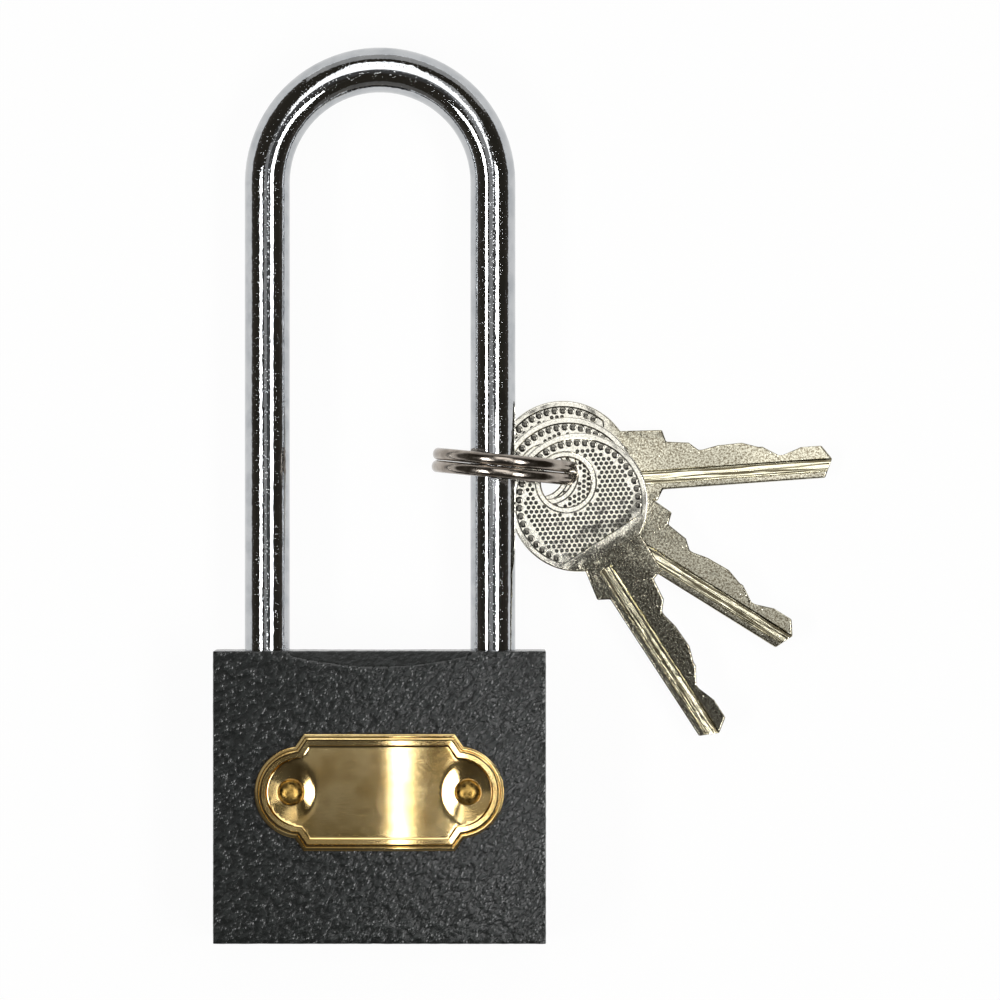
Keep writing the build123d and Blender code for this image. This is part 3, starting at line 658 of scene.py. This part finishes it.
def makeKeys():
    p = keyLook
    ornament = makeBowOrnament()
    for number, axis in p["axes"].items():
        node = f"key_{number}"
        low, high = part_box(node)
        bow = (low[0] + p["bow"] * mm, high[1] - p["bow"] * mm, (low[2] + high[2]) / 2)
        key = copyNode(node, f"key_{number}_cut")
        edit(key, "EDGE")
        pick(key, "edges", onOutline)
        bpy.ops.mesh.bevel(offset=p["rounded"] * mm, segments=3, affect="EDGES", clamp_overlap=True)
        leaveEdit()
        modify(key, "BEVEL", width=p["edge"] * mm, segments=1, limit_method="ANGLE",
               angle_limit=math.radians(p["edgeAngle"]), use_clamp_overlap=False)
        blank = len(key.data.vertices)
        raised = ornament.copy()
        raised.data = ornament.data.copy()
        bpy.context.scene.collection.objects.link(raised)
        raised.rotation_euler.z = math.radians(axis)
        raised.location = bow
        settle(raised, f"raised_{number}")
        joinInto(key, [raised])
        toKey = (Matrix.Translation(bow) @ Matrix.Rotation(math.radians(axis), 4, "Z")).inverted()
        onKey = key.data.attributes.new("keyPlace", "FLOAT_VECTOR", "POINT")
        onKey.data.foreach_set("vector", [c for vertex in key.data.vertices for c in toKey @ vertex.co])
        isRaised = key.data.attributes.new("raised", "FLOAT", "POINT")
        isRaised.data.foreach_set("value", [float(vertex.index >= blank) for vertex in key.data.vertices])
        # the cutter leaves the front groove deeper along its upper wall
        floor = []
        for vertex in key.data.vertices[:blank]:
            if abs((toKey @ vertex.co).z - p["grooveFloor"] * mm) < p["floorWithin"] * mm:
                floor.append(vertex)
        middle = sum((toKey @ vertex.co).y for vertex in floor) / len(floor)
        for vertex in floor:
            vertex.co.z -= ((toKey @ vertex.co).y - middle) * math.tan(math.radians(p["grooveSlant"]))
        finishPiece(key, node, nickel, [node], p["smooth"], keepFlats=True)
    bpy.data.objects.remove(ornament)


makeKeys()

# The split ring: two turns of round wire rolled a little flat, joined by a jog between two angles.
splitRing = {
    "centre": (18.8, 49.6, 11.1), "yaw": -5.7, "radius": 10.29, "wire": 1.4, "flatten": 1.28, "apart": 0.94,
    "steps": 144, "sides": 20, "jog": (338, 378), "jogCuts": 14, "endEdge": 0.12, "endRise": 0.08,
    "smooth": 40,
}


def makeSplitRing():
    p = splitRing
    turns = []
    for side in (1, -1):
        bpy.ops.mesh.primitive_torus_add(
            major_radius=p["radius"] * mm, minor_radius=p["wire"] / 2 * mm, major_segments=p["steps"],
            minor_segments=p["sides"], location=(0, 0, side * p["apart"] * mm))
        bpy.context.object.scale.z = p["flatten"]
        turns.append(settle(bpy.context.object, "turn"))
    ring = joinInto(turns[0], turns[1:])
    ring.name = "split_ring_wound"
    jogFrom, jogTo = p["jog"]

    def angleOf(spot):
        angle = math.degrees(math.atan2(spot.y, spot.x))
        return angle + 360 if angle < 180 else angle

    edit(ring)
    pick(ring, "faces", lambda face: jogFrom < angleOf(face.calc_center_median()) < jogTo)
    bpy.ops.mesh.delete(type="FACE")
    bpy.ops.mesh.select_mode(type="EDGE")

    def openEnd(edge, side, angle):
        spot = (edge.verts[0].co + edge.verts[1].co) / 2
        return edge.is_boundary and spot.z * side > 0 and abs(angleOf(spot) - angle) < 9

    pick(ring, "edges", lambda e: openEnd(e, 1, jogFrom) or openEnd(e, -1, jogTo))
    bpy.ops.mesh.bridge_edge_loops(number_cuts=p["jogCuts"], interpolation="SURFACE", smoothness=1.0)
    for side, angle in ((1, jogTo), (-1, jogFrom)):
        pick(ring, "edges", lambda e: openEnd(e, side, angle))
        bpy.ops.mesh.edge_face_add()
        bpy.ops.mesh.inset(thickness=p["endEdge"] * mm, depth=p["endRise"] * mm)
    leaveEdit()
    closeUp(ring)
    yaw = math.radians(p["yaw"])
    ring.matrix_world = Matrix.Translation([c * mm for c in p["centre"]]) @ Matrix((
        (math.cos(yaw), 0, math.sin(yaw), 0), (math.sin(yaw), 0, -math.cos(yaw), 0),
        (0, 1, 0, 0), (0, 0, 0, 1)))
    settle(ring, "split_ring_wound")
    finishPiece(ring, "ring", ringSteel, ["split_ring"], p["smooth"])


makeSplitRing()

# The springs, in round wire. Each stands on its base and runs along its axis, with a little room at its ends.
springs = {
    "shackle_spring": {
        "base": (17, -14.1, 10.5), "turn": (-90, 0, 0), "room": 6.6, "outer": 5.6, "wire": 0.8, "turns": 4},
    "latch_spring": {
        "base": (4.206, 11.5, 10.5), "turn": (0, 90, 0), "room": 4.6, "outer": 5.4, "wire": 0.7, "turns": 3},
}
pinRow = {"count": 5, "first": -15.5, "pitch": 3.02, "springZ": 15.5}
for number in range(pinRow["count"]):
    springs[f"pin_spring_{number + 1}"] = {
        "base": (0, pinRow["first"] + pinRow["pitch"] * number, pinRow["springZ"]), "turn": (0, 0, 0),
        "room": 2.4, "outer": 1.95, "wire": 0.3, "turns": 4}
springWire = {"sides": 12, "stepsPerTurn": 24, "endRoom": 0.05, "smooth": 40}


def makeSprings():
    wire = springWire
    for node, p in springs.items():
        radius = (p["outer"] - p["wire"]) / 2
        steps = wire["stepsPerTurn"] * p["turns"]
        bpy.ops.mesh.primitive_circle_add(
            vertices=wire["sides"], radius=p["wire"] / 2 * mm, fill_type="NOTHING",
            rotation=(math.pi / 2, 0, 0), location=(radius * mm, 0, (wire["endRoom"] + p["wire"] / 2) * mm))
        spring = settle(bpy.context.object, node + "_wound")
        modify(spring, "SCREW", axis="Z", angle=2 * math.pi * p["turns"], iterations=1,
               screw_offset=(p["room"] - 2 * wire["endRoom"] - p["wire"]) * mm,
               steps=steps, render_steps=steps, use_merge_vertices=False)
        edit(spring, "EDGE")
        bpy.ops.mesh.select_all(action="SELECT")
        bpy.ops.mesh.fill_holes(sides=0)
        leaveEdit()
        closeUp(spring)
        spring.rotation_euler = [math.radians(t) for t in p["turn"]]
        spring.location = [c * mm for c in p["base"]]
        settle(spring, node + "_wound")
        springSteel = workMaterials["oil_tempered_spring_wire"]
        finishPiece(spring, "case", springSteel, [node], wire["smooth"])


makeSprings()

# CAD nodes whose shape is right stay, with the finish of their metal.
nodeFinish = {
    "shackle": chrome,
    "latch_bore_plug": enamel, "shackle_keeper_pin": enamel,
    "cylinder_shell": workMaterials["machined_brass"], "plug": workMaterials["machined_brass"],
    "pin_cover_strip": workMaterials["machined_brass"],
    "latch": workMaterials["hardened_steel"], "tail_cam": workMaterials["hardened_steel"],
    "cylinder_pin": workMaterials["hardened_steel"], "cam_screws": workMaterials["zinc_plated_steel"],
}
for number in range(pinRow["count"]):
    nodeFinish[f"key_pin_{number + 1}"] = workMaterials["machined_brass"]
    nodeFinish[f"driver_pin_{number + 1}"] = workMaterials["machined_brass"]
for node, material in nodeFinish.items():
    cadNodes[node].data.materials.clear()
    cadNodes[node].data.materials.append(material)
print("CAD nodes finished:", len(nodeFinish))

# White table: lit as a plain white surface, and shown white to the camera and in the metals.
stage = {"size": 6000, "middle": (20, 40, -0.03), "white": "#F2F2F0", "glow": 0.95}
bpy.ops.mesh.primitive_plane_add(size=stage["size"] * mm, location=[c * mm for c in stage["middle"]])
floor = settle(bpy.context.object, "table")
tableTop = bpy.data.materials.new("white_table")
tableTop.use_nodes = True
tree = tableTop.node_tree
tree.nodes.clear()
rays = addNode(tree, "ShaderNodeLightPath")
seen = addNode(tree, "ShaderNodeMath", {0: rays.outputs["Is Camera Ray"], 1: rays.outputs["Is Glossy Ray"]},
               operation="ADD")
seen = addNode(tree, "ShaderNodeMath", {0: seen.outputs[0], 1: rays.outputs["Is Transmission Ray"]},
               operation="ADD", use_clamp=True)
share = addNode(tree, "ShaderNodeMath", {0: seen.outputs[0], 1: stage["glow"]}, operation="MULTIPLY")
matt = addNode(tree, "ShaderNodeBsdfDiffuse", {"Color": linear(stage["white"])})
glow = addNode(tree, "ShaderNodeEmission", {"Color": (1, 1, 1, 1), "Strength": 1.0})
both = addNode(tree, "ShaderNodeMixShader", {0: share.outputs[0], 1: matt.outputs[0], 2: glow.outputs[0]})
addNode(tree, "ShaderNodeOutputMaterial", {"Surface": both.outputs[0]})
floor.data.materials.append(tableTop)

# Two strip lights either side, boxes beyond the bend and to its right, a strip for the keys' grooves, pale
# walls far off, a weak box over the left leg, and small cards with narrow beams over the plate, the bows,
# the two upper keys and the upper key's tip. A level is the brightness that a mirror shows.
lamps = {
    "stripLeft": {"place": (-560, -110, 900), "size": (190, 560), "level": 13.0},
    "stripRight": {"place": (390, -110, 900), "size": (200, 560), "level": 13.0},
    "bendBox": {"place": (0, 560, 900), "size": (400, 680), "level": 2.4},
    "rightBox": {"place": (310, 480, 900), "size": (220, 340), "level": 0.5},
    "grooveBox": {"place": (215, 255, 900), "size": (64, 300), "level": 2.6, "turn": -32},
    "farWall": {"place": (450, 1500, 470), "size": (2900, 800), "level": 0.42, "lean": -90},
    "nearWall": {"place": (0, -1500, 470), "size": (2900, 800), "level": 0.1, "lean": 90},
    "overheadBox": {"place": (-145, 90, 900), "size": (290, 220), "level": 0.3},
    "plateCard": {"place": (18.6, -8, 300), "size": (11.5, 60), "level": 16.0, "beam": 24},
    "bowCard": {"place": (27.85, 48.88, 120), "size": (23.7, 25), "level": 1.3, "turn": -57, "beam": 60},
    "keyCardUpper": {"place": (61, 52, 120), "size": (48, 11), "level": 0.92, "turn": 4, "beam": 60},
    "keyCardTip": {"place": (68, 50.6, 121), "size": (20, 11), "level": 0.5, "turn": 4, "beam": 60},
    "keyCardLower": {"place": (54.6, 31.8, 120), "size": (29, 7.6), "level": 0.6, "turn": -32, "beam": 60},
}
for name, p in lamps.items():
    bpy.ops.object.light_add(type="AREA", location=[c * mm for c in p["place"]])
    lamp = bpy.context.object
    lamp.name = name
    lamp.data.shape = "RECTANGLE"
    lamp.data.size, lamp.data.size_y = [s * mm for s in p["size"]]
    lamp.data.energy = p["level"] * math.pi * lamp.data.size * lamp.data.size_y
    if "beam" in p:
        # a narrowed lamp keeps its power, so its level is brought back
        lamp.data.spread = math.radians(p["beam"])
        lamp.data.energy *= 1 - lamp.data.spread / 2 / math.tan(lamp.data.spread / 2)
    lamp.rotation_euler.z = math.radians(p.get("turn", 0))
    lamp.rotation_euler.x = math.radians(p.get("lean", 0))
    if name.startswith("strip"):
        lamp.rotation_euler.y = math.atan2(lamp.location.x, lamp.location.z)

# The room: a soft grey overhead, warm and dark between, pale and a little cool at the horizon.
horizon, dusk, gloom = (0.93, 0.95, 0.97), (0.07, 0.06, 0.05), (0.034, 0.03, 0.023)
room = [(0.0, horizon), (0.05, horizon), (0.11, dusk), (0.5, gloom), (0.93, gloom),
        (0.985, (0.09, 0.09, 0.09)), (1.0, (0.1, 0.1, 0.1))]
world = bpy.data.worlds.new("studio")
bpy.context.scene.world = world
world.use_nodes = True
tree = world.node_tree
way = addNode(tree, "ShaderNodeTexCoord").outputs["Generated"]
height = addNode(tree, "ShaderNodeSeparateXYZ", {"Vector": way}).outputs["Z"]
shades = addNode(tree, "ShaderNodeValToRGB", {"Fac": height}, stops=[(at, (*shade, 1)) for at, shade in room])
tree.links.new(shades.outputs["Color"], tree.nodes["Background"].inputs["Color"])

# Straight above, the picture 150.6 mm wide at the middle of the lock's thickness.
view = {
    "centre": (18.07, 44.58), "width": 150.6, "atHeight": 12, "lens": 400, "sensor": 36, "farthest": 20000,
}
bpy.ops.object.camera_add()
camera = bpy.context.object
camera.data.lens = view["lens"]
camera.data.sensor_width = view["sensor"]
distance = view["width"] * view["lens"] / view["sensor"]
camera.location = (view["centre"][0] * mm, view["centre"][1] * mm, (view["atHeight"] + distance) * mm)
camera.data.clip_end = view["farthest"] * mm
bpy.context.scene.camera = camera
bpy.context.scene.view_settings.view_transform = "Standard"
print("stage done")
